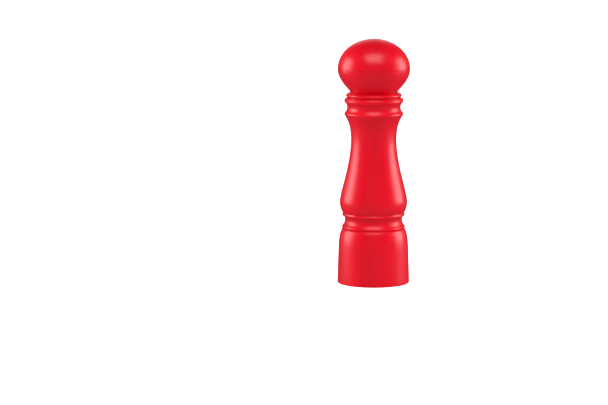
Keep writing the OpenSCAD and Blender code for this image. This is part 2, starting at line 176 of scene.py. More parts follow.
def body_outline():
    """Outside of the body from foot to mouth: drum, two beads, bulge, waist, two rings."""
    drum = (FOOT_R - 0.85, SHOULDER_Z)
    bulge = (BULGE_R, BULGE_Z)
    waist = (WAIST_R, WAIST_Z)
    return (
        arc((FOOT_R - 1.2, 1.2), 1.2, -90, 0, 8)
        + [(FOOT_R - 0.85 * k / 6, 1.2 + (SHOULDER_Z - 1.2) * k / 6) for k in range(1, 7)]
        + bezier(drum, (FOOT_R - 1.1, 36.5), (FOOT_R - 1.55, 42.5), (26.95, 47), 20)
        + arc((25.5, 48.75), 1.55, -61, 44, 14)
        + arc((31.8, 54.9), 7.25, 219, 154, 18)
        + arc((25.5, 59.35), 1.35, -96, 38, 14)
        + [(26.3, 60.8)]
        + bezier((26.4, 61), (28, 63.2), (BULGE_R, 66.5), bulge, 14)
        + bezier(bulge, (BULGE_R, 78.7), (WAIST_R, 102.4), waist, 40)
        + bezier(waist, (WAIST_R, 136.9), (23.25, 141.98), (24.85, 144.75), 22)
        + arc((22.95, 145.85), 2.2, -25, 44, 10)
        + arc((28.47, 151.5), 5.7, 222, 138, 16)
        + arc((23.25, 157), 1.9, -42, 0, 7)
        + arc((23.4, 157.8), 1.75, 0, 84, 10)
        + [(22.8, MOUTH_Z - 0.25), (22.7, MOUTH_Z)]
    )


def hopper_outline():
    """Hollow of the body from the mouth down to the foot, with close rows at both ends of the keys."""
    sharp = (
        [(MOUTH_R + 0.3, MOUTH_Z), (MOUTH_R, MOUTH_Z - 0.4), (MOUTH_R, 143), (16.4, 134)]
        + bezier((16.4, 118), (16.4, 100), (21.4, 80), (21.4, 62), 16)
        + [(21.4, 50.5), (BORE_R - 1.1, SHELF_Z), (BORE_R, SHELF_Z)]
        + [(BORE_R, HOUSING_TOP + step) for step in (0.2, 0, -0.2)]
    )
    below = [(BORE_R, KEY_Z + 0.1), (BORE_R, KEY_Z - 0.1), (BORE_R, 0.3)]
    return rounded(sharp, 0.3, closed=False) + snap_outline(BORE_R) + below


def snap_outline(r):
    """Snap bead of the cartridge, or the groove it springs into, from top to bottom."""
    return [
        (r, SNAP_Z + 2 * SNAP_H), (r + SNAP_H, SNAP_Z + SNAP_H),
        (r + SNAP_H, SNAP_Z - SNAP_H), (r, SNAP_Z - 2 * SNAP_H),
    ]


def cup_outline():
    """Outside of the lower head from its seat to just under the equator seam."""
    return (
        [(SEAT_R, SEAT_Z)]
        + arc((22.2, 161.9), 1.55, -75, 80, 16)
        + [(20, 164.9)]
        + bezier((20, 164.9), (25.9, 171.1), (BALL_R, 177), (BALL_R, EQUATOR_Z), 30)[:-1]
        + [(BALL_R - 0.01, EQUATOR_Z - 0.12), (BALL_R - 0.12, EQUATOR_Z)]
    )


# ---- meshes ----

def ring_angles(steps, marks=()):
    """Even angles round the axis, with closer ones about each mark (angle, half width) in degrees."""
    angles = [360 * i / steps for i in range(steps)]
    for mark, half in marks:
        near = [a for a in angles if abs((a - mark + 180) % 360 - 180) > half * 1.6]
        angles = near + [(mark + half * k) % 360 for k in (-1.5, -1, -0.5, 0, 0.5, 1, 1.5)]
    return sorted(set(round(a, 4) for a in angles))


def away(angle, mark):
    """Degrees between an angle and a mark, the short way round."""
    return abs((angle - mark + 180) % 360 - 180)


def new_piece(name, mesh, smooth=35):
    """A mesh object, shaded smooth up to the given angle between faces."""
    mesh.shade_smooth()
    mesh.set_sharp_from_angle(angle=math.radians(smooth))
    piece = bpy.data.objects.new(name, mesh)
    bpy.context.scene.collection.objects.link(piece)
    return piece


def mesh_from(name, verts, faces):
    """A mesh in metres from points in millimetres, with its faces turned outwards."""
    mesh = bpy.data.meshes.new(name)
    mesh.from_pydata([tuple(c * MM for c in v) for v in verts], [], faces)
    bm = bmesh.new()
    bm.from_mesh(mesh)
    bmesh.ops.recalc_face_normals(bm, faces=bm.faces)
    bm.to_mesh(mesh)
    bm.free()
    return mesh


def lathe(name, outline, steps=STEPS, marks=(), shape=None, smooth=35):
    """Turns a closed outline round the axis. shape(r, z, angle) may move each point of it."""
    angles = ring_angles(steps, marks)
    verts, rows = [], []
    for r, z in outline:
        if r < 1e-6:
            rows.append([len(verts)] * len(angles))
            verts.append((0, 0, z))
            continue
        rows.append(list(range(len(verts), len(verts) + len(angles))))
        for a in angles:
            rr, zz = shape(r, z, a) if shape else (r, z)
            verts.append((rr * math.cos(math.radians(a)), rr * math.sin(math.radians(a)), zz))
    faces = []
    on_axis = outline[0][0] < 1e-6 and outline[-1][0] < 1e-6
    for i in range(len(rows) - (1 if on_axis else 0)):
        low, high = rows[i], rows[(i + 1) % len(rows)]
        for j in range(len(angles)):
            k = (j + 1) % len(angles)
            corners = []
            for v in (low[j], low[k], high[k], high[j]):
                if v not in corners:
                    corners.append(v)
            if len(corners) > 2:
                faces.append(corners)
    return new_piece(name, mesh_from(name, verts, faces), smooth)


def loft(name, sections, smooth=35):
    """Solid through closed sections, each a list of as many (x, y, z) points."""
    count = len(sections[0])
    verts = [p for s in sections for p in s]
    faces = [list(range(count))[::-1], [len(verts) - count + j for j in range(count)]]
    for i in range(len(sections) - 1):
        for j in range(count):
            k = (j + 1) % count
            a, b = i * count, (i + 1) * count
            faces.append([a + j, a + k, b + k, b + j])
    return new_piece(name, mesh_from(name, verts, faces), smooth)


def block(name, low, high, round_r):
    """Box with rounded upright edges and softened top and bottom."""
    half = [(high[k] - low[k]) / 2 for k in (0, 1)]
    mid = [(high[k] + low[k]) / 2 for k in (0, 1)]
    quarters = ((1, 1, 0), (-1, 1, 90), (-1, -1, 180), (1, -1, 270))
    levels = (
        (low[2], 1), (low[2] + 0.3 * round_r, 0.3), (low[2] + round_r, 0),
        (high[2] - round_r, 0), (high[2] - 0.3 * round_r, 0.3), (high[2], 1),
    )
    sections = []
    for z, inset in levels:
        e = inset * round_r
        section = []
        for sx, sy, start in quarters:
            corner = (mid[0] + sx * (half[0] - round_r - e / 2), mid[1] + sy * (half[1] - round_r - e / 2))
            section += [(x, y, z) for x, y in arc(corner, round_r - e / 2, start, start + 90, 4)]
        sections.append(section)
    return loft(name, sections)


def place(piece, x=0, y=0, z=0, turn=0, flip=False):
    """Flips the mesh, moves it, then turns it round the axis. The object itself stays at the origin."""
    for v in piece.data.vertices:
        p = v.co.copy()
        if flip:
            p.y, p.z = -p.y, -p.z
        p += Vector((x, y, z)) * MM
        c, s = math.cos(math.radians(turn)), math.sin(math.radians(turn))
        v.co = (p.x * c - p.y * s, p.x * s + p.y * c, p.z)
    return piece


def joined(name, parts):
    """One object from several, which are removed."""
    bm = bmesh.new()
    for part in parts:
        bm.from_mesh(part.data)
        bpy.data.objects.remove(part)
    mesh = bpy.data.meshes.new(name)
    bm.to_mesh(mesh)
    bm.free()
    return new_piece(name, mesh)


def combined(piece, other, operation, smooth=35):
    """piece with other cut away or added by an exact boolean, without slivers. other is removed."""
    modifier = piece.modifiers.new("combine", "BOOLEAN")
    modifier.operation = operation
    modifier.solver = "EXACT"
    modifier.object = other
    bpy.context.view_layer.update()
    evaluated = piece.evaluated_get(bpy.context.evaluated_depsgraph_get())
    mesh = bpy.data.meshes.new_from_object(evaluated)
    piece.modifiers.clear()
    piece.data = mesh
    bm = bmesh.new()
    bm.from_mesh(mesh)
    bmesh.ops.remove_doubles(bm, verts=bm.verts, dist=SLIVER * MM)
    bmesh.ops.dissolve_degenerate(bm, edges=bm.edges, dist=SLIVER * MM)
    bm.to_mesh(mesh)
    bm.free()
    mesh.shade_smooth()
    mesh.set_sharp_from_angle(angle=math.radians(smooth))
    bpy.data.objects.remove(other)
    return piece


def even_shading(piece):
    """Large faces keep their own direction in the shading, so small rounded edges read as edges."""
    modifier = piece.modifiers.new("shading", "WEIGHTED_NORMAL")
    modifier.keep_sharp = True
    return piece


def pins(name, r, radius, low, high, steps=24):
    """Three plain pins round the axis, used to cut holes."""
    outline = [(0, low), (radius, low), (radius, high), (0, high)]
    return joined(name, [place(lathe(name, outline, steps), x=r, turn=t) for t in THIRDS])


# ---- materials ----

class Nodes:
    """A material's node tree with short calls for the nodes used here."""

    def __init__(self, name):
        self.material = bpy.data.materials.new(name)
        self.material.use_nodes = True
        self.tree = self.material.node_tree
        self.shader = self.tree.nodes["Principled BSDF"]
        self.place = self.add("ShaderNodeTexCoord").outputs["Object"]

    def add(self, kind, **settings):
        node = self.tree.nodes.new(kind)
        for key, value in settings.items():
            setattr(node, key, value)
        return node

    def link(self, source, target):
        self.tree.links.new(source, target)

    def put(self, node, **values):
        """Sets sockets, by name or by place as _0, from numbers or from other nodes' outputs."""
        for key, value in values.items():
            socket = node.inputs[int(key[1:])] if key[0] == "_" else node.inputs[key.replace("_", " ")]
            if isinstance(value, bpy.types.NodeSocket):
                self.link(value, socket)
            else:
                socket.default_value = value
        return node

    def math(self, operation, a, b=0.0):
        return self.put(self.add("ShaderNodeMath", operation=operation), _0=a, _1=b).outputs[0]

    def stretched(self, x, y, z):
        """Object coordinates multiplied by x, y and z."""
        node = self.add("ShaderNodeVectorMath", operation="MULTIPLY")
        return self.put(node, _0=self.place, _1=(x, y, z)).outputs[0]

    def round_axis(self, about, along):
        """Coordinates that wrap round the axis: turns times about, and height times along."""
        split = self.put(self.add("ShaderNodeSeparateXYZ"), _0=self.place)
        x, y, z = split.outputs
        squares = self.math("ADD", self.math("MULTIPLY", x, x), self.math("MULTIPLY", y, y))
        radius = self.math("SQRT", squares)
        join = self.add("ShaderNodeCombineXYZ")
        angle = self.math("ARCTAN2", y, x)
        self.put(join, X=self.math("MULTIPLY", angle, about), Y=self.math("MULTIPLY", radius, along),
                 Z=self.math("MULTIPLY", z, along))
        return join.outputs[0]

    def noise(self, scale, detail=2.0, vector=None, roughness=0.5):
        node = self.add("ShaderNodeTexNoise")
        self.put(node, Vector=vector or self.place, Scale=scale, Detail=detail, Roughness=roughness)
        return node.outputs["Fac"]

    def range(self, value, low, high, to_low, to_high):
        node = self.add("ShaderNodeMapRange")
        return self.put(node, _0=value, _1=low, _2=high, _3=to_low, _4=to_high).outputs[0]

    def mix(self, factor, a, b):
        """Two colours mixed by a factor."""
        node = self.add("ShaderNodeMix", data_type="RGBA")
        colours = [s for s in node.inputs if s.type == "RGBA"]
        self.put(node, _0=factor)
        for socket, value in zip(colours, (a, b)):
            if isinstance(value, bpy.types.NodeSocket):
                self.link(value, socket)
            else:
                socket.default_value = (*value, 1)
        return next(s for s in node.outputs if s.type == "RGBA")

    def bump(self, height, distance, strength=1.0, normal=None):
        node = self.add("ShaderNodeBump")
        self.put(node, Height=height, Distance=distance, Strength=strength)
        if normal:
            self.link(normal, node.inputs["Normal"])
        return node.outputs["Normal"]

    def finish(self, colour, roughness, normal, **constants):
        """Feeds the shader. Constants are set on its own sockets."""
        self.put(self.shader, Base_Color=colour, Roughness=roughness, Normal=normal, **constants)
        return self.material


def red_plastic(name, colour, gloss):
    """Moulded gloss plastic: faint flow streaks and orange peel, hairline scuffs and rubbed edges."""
    n = Nodes(name)
    deep = tuple(c * 0.86 for c in colour)
    flow = n.noise(1.0, 4.0, n.stretched(38, 38, 14), 0.55)
    tint = n.mix(n.range(flow, 0.3, 0.7, 0, 1), deep, colour)
    ridge = n.add("ShaderNodeNewGeometry").outputs["Pointiness"]
    rubbed = n.range(ridge, 0.53, 0.62, 0, 0.3)
    patches = n.range(n.noise(160, 3.0), 0.45, 0.7, 0, 1)
    wear = n.math("MULTIPLY", rubbed, patches)
    tint = n.mix(wear, tint, (0.75, 0.05, 0.06))
    scuffs = n.range(n.noise(1.0, 2.0, n.round_axis(2, 2600)), 0.62, 0.8, 0, 1)
    smudges = n.range(n.noise(60, 3.0), 0.3, 0.8, -0.02, 0.04)
    rough = n.math("ADD", smudges, n.math("MULTIPLY", scuffs, 0.04))
    rough = n.math("ADD", n.math("ADD", rough, gloss), n.math("MULTIPLY", wear, 0.15))
    peel = n.bump(n.noise(900, 2.0), 0.000012)
    lines = n.bump(scuffs, 0.000001, 1.0, peel)
    return n.finish(
        tint, rough, lines, IOR=1.46, Specular_IOR_Level=0.5, Coat_Weight=0.12, Coat_Roughness=0.2
    )


def fired_ceramic():
    """Fine sintered alumina: warm white, faint specks and a dry grain."""
    n = Nodes("Fired ceramic")
    cloud = n.noise(120, 4.0)
    tint = n.mix(n.range(cloud, 0.3, 0.7, 0, 1), (0.72, 0.69, 0.62), (0.84, 0.82, 0.76))
    specks = n.range(n.noise(2600, 1.0), 0.68, 0.76, 0, 0.35)
    tint = n.mix(specks, tint, (0.42, 0.38, 0.32))
    dust = n.range(n.noise(420, 3.0), 0.3, 0.8, 0, 0.3)
    rough = n.range(dust, 0, 0.3, 0.4, 0.62)
    grain = n.bump(n.noise(3400, 3.0), 0.00003)
    return n.finish(tint, rough, grain, IOR=1.6)


def moulded_white():
    """Natural acetal: milky white with soft flow lines and a satin skin, and painted shade that darkens
    its hollows.
    """
    n = Nodes("Moulded white plastic")
    flow = n.noise(1.0, 5.0, n.stretched(90, 60, 40), 0.6)
    tint = n.mix(n.range(flow, 0.3, 0.7, 0, 1), (0.68, 0.67, 0.62), (0.8, 0.79, 0.75))
    ridge = n.add("ShaderNodeNewGeometry").outputs["Pointiness"]
    # painted shade: hollows (low pointiness) are darkened towards a brownish grey
    tint = n.mix(n.range(ridge, 0.38, 0.48, 0.45, 0), tint, (0.5, 0.46, 0.38))
    rough = n.range(n.noise(300, 3.0), 0.3, 0.7, 0.3, 0.44)
    skin = n.bump(n.noise(1900, 2.0), 0.000012)
    return n.finish(tint, rough, skin, IOR=1.48)


def soft_silicone():
    """Matt silicone rubber with a dusty bloom."""
    n = Nodes("Silicone rubber")
    tint = n.mix(n.range(n.noise(500, 4.0), 0.35, 0.7, 0, 1), (0.5, 0.49, 0.46), (0.64, 0.63, 0.6))
    rough = n.range(n.noise(900, 2.0), 0.3, 0.7, 0.5, 0.7)
    skin = n.bump(n.noise(2400, 2.0), 0.00002)
    return n.finish(tint, rough, skin, IOR=1.41)


def worked_steel(name, colour, about, along, rough_low, rough_high):
    """Stainless steel with fine lines round the axis, or along it, and soft tarnish."""
    n = Nodes(name)
    lines = n.noise(1.0, 3.0, n.round_axis(about, along))
    stain = n.range(n.noise(240, 4.0), 0.4, 0.75, 0, 1)
    tint = n.mix(stain, colour, tuple(c * 0.8 for c in colour))
    tint = n.mix(n.range(lines, 0.35, 0.7, 0, 0.35), tint, tuple(min(1, c * 1.25) for c in colour))
    rough = n.math("ADD", n.range(lines, 0.3, 0.7, rough_low, rough_high), n.math("MULTIPLY", stain, 0.08))
    return n.finish(tint, rough, n.bump(lines, 0.000008), Metallic=1.0)


BODY_RED = red_plastic("Red body plastic", (0.8, 0.0006, 0.021), 0.36)
HEAD_RED = red_plastic("Red head plastic", (0.8, 0.0006, 0.021), 0.35)
DIAL_RED = red_plastic("Red dial plastic", (0.76, 0.0006, 0.021), 0.39)
CERAMIC = fired_ceramic()
WHITE = moulded_white()
SILICONE = soft_silicone()
STEEL = worked_steel("Turned steel", (0.6, 0.6, 0.61), 4, 3800, 0.2, 0.36)
SPRING_STEEL = worked_steel("Spring steel", (0.42, 0.42, 0.44), 60, 900, 0.22, 0.4)
SHAFT_METAL = worked_steel("Drawn shaft", (0.7, 0.71, 0.72), 140, 30, 0.22, 0.38)


def finished(piece, material, slot, body, *nodes):
    """Gives a piece its material, lets it ride on its body and stand for its CAD nodes. slot is not used.
    """
    piece.data.materials.clear()
    piece.data.materials.append(material)
    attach(piece, body)
    if nodes:
        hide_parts(*nodes)
    return piece


# ---- body ----

PARTING = ((0, 0.35), (180, 0.35))      # mould parting lines, at the two sides
KEYS = tuple((60 + turn, 3.31) for turn in THIRDS)


def body_shape(r, z, angle):
    """Parting lines outside, and inside the keys that stop the cartridge from turning."""
    outside = r > body_inner_limit(z)
    if outside:
        for mark, half in PARTING:
            r += 0.045 * max(0, 1 - away(angle, mark) / half)
        return r, z
    if KEY_Z - 0.05 < z < HOUSING_TOP + 0.05 and r > KEY_R:
        if any(away(angle, mark) <= half for mark, half in KEYS):
            return KEY_R, z
    return r, z


def body_inner_limit(z):
    """Radius between the body's inner and outer face at a height."""
    if z < 60:
        return 26.6
    if 90 < z < 142:
        return 18
    return 22.4 if z < 143 else 21


def make_body():
    outline = body_outline() + hopper_outline() + [(BORE_R + 0.3, 0)]
    piece = lathe("body_skin", outline, 208, PARTING + KEYS, body_shape)
    finished(even_shading(piece), BODY_RED, "red_body", "mill", "body_shell")


def make_housing():
    """Grinder cartridge in the foot, with its flat rim, recess wall, key slots and index dot."""
    seat_r = 21.5
    lip_r = 20.05
    slot_half = 1.6
    sharp = (
        [(RIM_R, RIM_Z), (HOUSING_R, RIM_Z)]
        + snap_outline(HOUSING_R)[::-1]
        + [(HOUSING_R, HOUSING_TOP), (seat_r, HOUSING_TOP), (seat_r, LIP_Z), (lip_r, LIP_Z),
           (lip_r, LIP_Z - 1), (DIAL_BORE_R, LIP_Z - 1), (DIAL_BORE_R, DISC_Z)]
    )
    piece = lathe("housing_skin", rounded(sharp, 0.25), 224)
    slot_low = (KEY_R - 0.1, -slot_half, KEY_Z - 0.1)
    slot_high = (BORE_R + 1, slot_half, HOUSING_TOP + 1)
    cutters = [place(block("slot", slot_low, slot_high, 0.2), turn=key) for key, _ in KEYS]
    cutters.append(pins("pilots", BRIDGE_SCREW_R, PILOT_R, HOUSING_TOP - 7.5, HOUSING_TOP + 1))
    piece = combined(piece, joined("cutters", cutters), "DIFFERENCE")
    proud, sunk = RIM_Z - 0.3, RIM_Z + 0.3
    outline = [(0, proud)] + arc((0.2, proud + 0.15), 0.15, -90, 0, 5) + [(0.35, sunk), (0, sunk)]
    dot = place(lathe("dot", outline, 32), x=(RIM_R + HOUSING_R) / 2, turn=45)
    piece = joined("housing_skin", [piece, dot])
    finished(even_shading(piece), BODY_RED, "red_body", "mill", "grinder_housing")


# ---- dial ----

SLOT_COUNT = 4
SLOT_IN_R = 13
SLOT_OUT_R = 21
SLOT_SPAN = 67.8
SLOT_CORNER = 1.6


def slot_plan(grow):
    """Outline of one slot, a band along an arc with rounded corners, grown by a margin."""
    c = SLOT_CORNER + grow
    out, inn = SLOT_OUT_R - SLOT_CORNER, SLOT_IN_R + SLOT_CORNER
    half = SLOT_SPAN / 2
    half_out = half - math.degrees(math.asin(SLOT_CORNER / out))
    half_in = half - math.degrees(math.asin(SLOT_CORNER / inn))

    def at(r, degrees):
        return (r * math.cos(math.radians(degrees)), r * math.sin(math.radians(degrees)))

    return (
        arc((0, 0), SLOT_OUT_R + grow, -half_out, half_out, 30)
        + arc(at(out, half_out), c, half_out, half + 90, 7)[1:]
        + arc(at(inn, half_in), c, half + 90, half_in + 180, 7)
        + arc((0, 0), SLOT_IN_R - grow, half_in, -half_in, 20)[1:]
        + arc(at(inn, -half_in), c, 180 - half_in, 270 - half, 7)[1:]
        + arc(at(out, -half_out), c, 270 - half, 360 - half_out, 7)[:-1]
    )


def slot_cutter():
    """Cutter whose two ends flare, so that it leaves rounded rims."""
    lip = 0.3
    bends = (0, 0.4, 0.8, 1.2, math.pi / 2)
    levels = [(DISC_Z - 1, lip)]
    levels += [(DISC_Z + lip * (1 - math.cos(t)), lip * (1 - math.sin(t))) for t in bends]
    levels += [(DISC_TOP - 0.2, 0), (DISC_TOP, 0.15), (DISC_TOP + 1, 0.15)]
    return loft("cutter", [[(x, y, z) for x, y in slot_plan(grow)] for z, grow in levels])


def make_dial():
    """Adjuster in the foot: a disc with outlet slots, a proud hub with a centre nub, and a plain skirt."""
    hub_r = 12.2
    hub_z = DISC_Z - 0.2
    nub_r = 1.3
    nub_z = dial_low.z
    boss_r = 8
    rim_r, top = dial_high.x, dial_high.z
    sharp = [
        (nub_r + 0.3, hub_z), (hub_r, hub_z), (hub_r + 0.15, DISC_Z), (rim_r, DISC_Z), (rim_r, top),
        (SLOT_OUT_R, top), (SLOT_OUT_R, DISC_TOP), (boss_r, DISC_TOP), (boss_r, top), (0, top),
    ]
    nub = [(0, nub_z)] + arc((0.35, nub_z + 0.7), 0.7, -90, 0, 6) + [(nub_r, hub_z - 0.5)]
    piece = lathe("dial_skin", nub + rounded(sharp, 0.25, closed=False), 224)
    cutters = [place(slot_cutter(), turn=i * 360 / SLOT_COUNT) for i in range(SLOT_COUNT)]
    piece = combined(piece, joined("cutters", cutters), "DIFFERENCE")
    mark = block("mark", (-1.7, -0.35, -0.3), (1.7, 0.35, 0.3), 0.15)
    place(mark, x=SLOT_OUT_R - 1.2, z=DISC_Z, turn=180 / SLOT_COUNT)
    piece = joined("dial_skin", [piece, mark])
    finished(even_shading(piece), DIAL_RED, "red_dial", "dial", "adjuster_dial")


# ---- head ----

def make_dome():
    """Upper half of the head, with a rebate for the cup's lip."""
    rise = TOP_Z - EQUATOR_Z
    rebate_r, rebate_z = BALL_R - 1.87, EQUATOR_Z + LAP + 0.2
    inner = quarter_ellipse(BALL_R - HEAD_WALL, rise - HEAD_WALL, EQUATOR_Z, 40)
    inner = [p for p in inner[::-1] if p[1] > rebate_z + 0.05]
    edge_z = EQUATOR_Z + FIT
    seam = [
        (rebate_r, edge_z), (BALL_R - 0.2, edge_z), (BALL_R - 0.05, edge_z + 0.06),
        (BALL_R - 0.005, edge_z + 0.2),
    ]
    outer = quarter_ellipse(BALL_R, rise, EQUATOR_Z, 56)[1:]
    outline = [(0, TOP_Z - HEAD_WALL)] + inner[1:] + [(rebate_r, rebate_z)] + seam + outer
    piece = lathe("dome_skin", outline, 224)
    finished(piece, HEAD_RED, "red_head", "head", "head_dome")


def make_cup():
    """Lower half of the head: collar ring, ball up to the seam, spigot with a seal groove, bosses."""
    in_r = BALL_R - HEAD_WALL
    lip_in, lip_out = BALL_R - 3.17, BALL_R - 1.97
    lip_top = EQUATOR_Z + LAP
    spigot_in = 16.9
    spigot_z = cup_low.z
    groove_r = SEAL_R - SEAL_WIRE - FIT
    groove_low, groove_top = SEAL_Z - 0.9, SEAL_Z + 0.9
    bore = NECK_R + FIT
    boss_r, boss_top = 2.5, FLOOR_TOP + 4.1
    spigot = [
        (spigot_in, FLOOR_Z), (spigot_in, spigot_z), (SPIGOT_R, spigot_z), (SPIGOT_R, groove_low),
        (groove_r, groove_low), (groove_r, groove_top), (SPIGOT_R, groove_top), (SPIGOT_R, SEAT_Z),
        (SEAT_R, SEAT_Z),
    ]
    lip = [(lip_out, EQUATOR_Z), (lip_out, lip_top), (lip_in, lip_top), (lip_in, EQUATOR_Z - 0.6)]
    hollow = bezier((17, FLOOR_TOP), (22.4, 169.8), (in_r, 176.5), (in_r, EQUATOR_Z - 1.2), 24)[::-1]
    inside = [(17, FLOOR_TOP), (bore, FLOOR_TOP), (bore, FLOOR_Z), (spigot_in, FLOOR_Z)]
    outline = rounded(spigot, 0.35, closed=False)[1:-1] + cup_outline() + lip + hollow + inside
    piece = lathe("cup_skin", outline, 224)
    bosses = pins("bosses", SOCKET_SCREW_R, boss_r, FLOOR_TOP - 0.5, boss_top, 40)
    piece = combined(piece, bosses, "UNION")
    pilots = pins("pilots", SOCKET_SCREW_R, PILOT_R, FLOOR_Z - 1, FLOOR_Z + 6)
    piece = combined(piece, pilots, "DIFFERENCE")
    finished(even_shading(piece), HEAD_RED, "red_head", "head", "head_cup")


def make_seal():
    outline = arc((SEAL_R, SEAL_Z), SEAL_WIRE, 0, 360, 28)[:-1]
    finished(lathe("seal_ring", outline, 224, smooth=80), SILICONE, "silicone", "head", "head_seal")


# ---- drive ----

def hexagon_at(across_flats, corner_r, angle):
    """Distance from the axis to a hexagon's side at an angle, with its corners rounded."""
    off = math.radians((angle + 30) % 60 - 30)
    return min(across_flats / 2 / math.cos(off), across_flats / math.sqrt(3) - corner_r)


def make_shaft():
    """Hexagonal bar with turned ends and clip grooves."""
    flats = min(shaft_high.x, shaft_high.y) * 2
    corner = flats / math.sqrt(3)
    low, high = shaft_low.z, shaft_high.z
    grooves = ((31.9, 32.7, 2.6), (42.4, 43.2, 2.6), (167.5, 168.5, 2.7))
    turned = [(0, low), (corner - 0.6, low), (corner, low + 0.8)]
    for z0, z1, r in grooves:
        turned += [(corner, z0), (r, z0), (r, z1), (corner, z1)]
    turned += [(corner, high - 1.2), (corner - 1.2, high), (0, high)]
    outline = rounded(turned, 0.12, closed=False)

    def shape(r, z, angle):
        return min(r, hexagon_at(flats, 0.06, angle)), z

    piece = lathe("shaft_bar", outline, 96, shape=shape, smooth=25)
    finished(even_shading(piece), SHAFT_METAL, "shaft_metal", "drive", "drive_shaft")


def make_socket():
    """Flanged hexagonal socket under the head."""
    top, bottom = socket_high.z, socket_low.z
    flange = 12.4
    flats = 6.12
    bore_top = 173.6
    clip_z = 168
    wall = flats / math.sqrt(3)
    sharp = [
        (0, bore_top), (0.5, bore_top), (wall, bore_top), (wall, clip_z + 0.5), (4.35, clip_z + 0.5),
        (4.35, clip_z - 0.5), (wall, clip_z - 0.5), (wall, bottom + 1.3), (4.6, bottom), (flange, bottom),
        (flange, FLOOR_Z - FIT), (NECK_R, FLOOR_Z - FIT), (NECK_R, top), (0, top),
    ]
    outline = rounded(sharp, 0.3, closed=False)

    def shape(r, z, angle):
        if 0.6 < r <= wall + 0.01 and z < bore_top + 0.01:
            return min(r, hexagon_at(flats, 0.05, angle)), z
        return r, z

    piece = lathe("socket_moulding", outline, 144, shape=shape)
    holes = pins("holes", SOCKET_SCREW_R, PILOT_R + 0.15, bottom - 1, FLOOR_Z + 1)
    piece = combined(piece, holes, "DIFFERENCE")
    finished(even_shading(piece), WHITE, "white_plastic", "head", "drive_socket")


def thread_screw(name, head_r, head_h, length, pitch=0.75):
    """Pan-head screw with a thread and a cross recess, point down. Its head's underside is at height 0."""
    shank = PILOT_R - 0.03
    count = round(length / 0.09)
    side = [(shank, -length + 1 + (length - 1) * i / count) for i in range(count + 1)]
    point = [(0, -length), (0.35, -length + 0.35), (0.7, -length + 0.7)]
    head = [(head_r, 0)] + arc((head_r - 0.5, head_h - 0.5), 0.5, 0, 90, 6) + [(0, head_h)]

    def shape(r, z, angle):
        if abs(r - shank) < 1e-6 and z < -0.3:
            wave = 1 - abs(((z / pitch - angle / 360) % 1) * 2 - 1)
            r -= 0.22 * (1 - min(1, wave * 1.6))
        return r, z

    piece = lathe(name, point + side + head, 32, shape=shape, smooth=50)
    bar_low = (-head_r * 0.6, -0.25, head_h - 0.6)
    bar_high = (head_r * 0.6, 0.25, head_h + 1)
    bars = [place(block("bar", bar_low, bar_high, 0.1), turn=turn) for turn in (0, 90)]
    return combined(piece, combined(*bars, "UNION"), "DIFFERENCE", 50)


def screw_set(name, sizes, r, z, flip=False):
    """Three equal screws round the axis, of sizes (head radius, head height, length)."""
    screws = [place(thread_screw("screw", *sizes), x=r, z=z, turn=turn, flip=flip) for turn in THIRDS]
    return joined(name, screws)


def make_screws():
    bridge = screw_set("bridge_screw_set", (1.7, 1.2, 8), BRIDGE_SCREW_R, 34.15)
    finished(bridge, STEEL, "steel", "mill", "bridge_screws")
    socket = screw_set("socket_screw_set", (1.9, 1.2, 7), SOCKET_SCREW_R, socket_low.z - FIT, flip=True)
    finished(socket, STEEL, "steel", "head", "socket_screws")


# ---- spring ----

def make_spring():
    """Coil spring with closed ends."""
    turns = 5
    wire = 0.9
    radius = spring_high.x - wire / 2
    sides = 14
    per_turn = 48
    closed = 0.75
    low, high = spring_low.z, spring_high.z
    end_rise = closed * wire * 1.04
    free = turns - 2 * closed
    free_rise = high - low - wire - 2 * end_rise

    def height(t):
        middle = min(max(t - closed, 0), free)
        ends = min(t, closed) + max(t - closed - free, 0)
        return low + wire / 2 + end_rise * ends / closed + free_rise * middle / free

    sections = []
    for i in range(turns * per_turn + 1):
        t = i / per_turn
        a = 2 * math.pi * t
        ring = arc((radius, height(t)), wire / 2, 0, 360, sides)[:-1]
        sections.append([(r * math.cos(a), r * math.sin(a), z) for r, z in ring])
    piece = loft("spring_coil", sections, 60)
    finished(piece, SPRING_STEEL, "spring_steel", "mill", "spring")
    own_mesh(piece)


# ---- ceramic grinder ----

def tooth(turns, width):
    """Depth from 0 to 1 of a row of rounded V grooves, one to each whole turn."""
    off = abs((turns % 1) - 0.5) * 2
    depth = max(0, 1 - off / width)
    return depth * (2 - depth) * 0.5 + depth * 0.5


def along(r, z, a, b):
    """How far a point lies from a to b, from 0 to 1."""
    dr, dz = b[0] - a[0], b[1] - a[1]
    return ((r - a[0]) * dr + (z - a[1]) * dz) / (dr ** 2 + dz ** 2)


def divided(a, b, n):
    """Points from a to b, without either end."""
    return [(a[0] + (b[0] - a[0]) * i / n, a[1] + (b[1] - a[1]) * i / n) for i in range(1, n)]


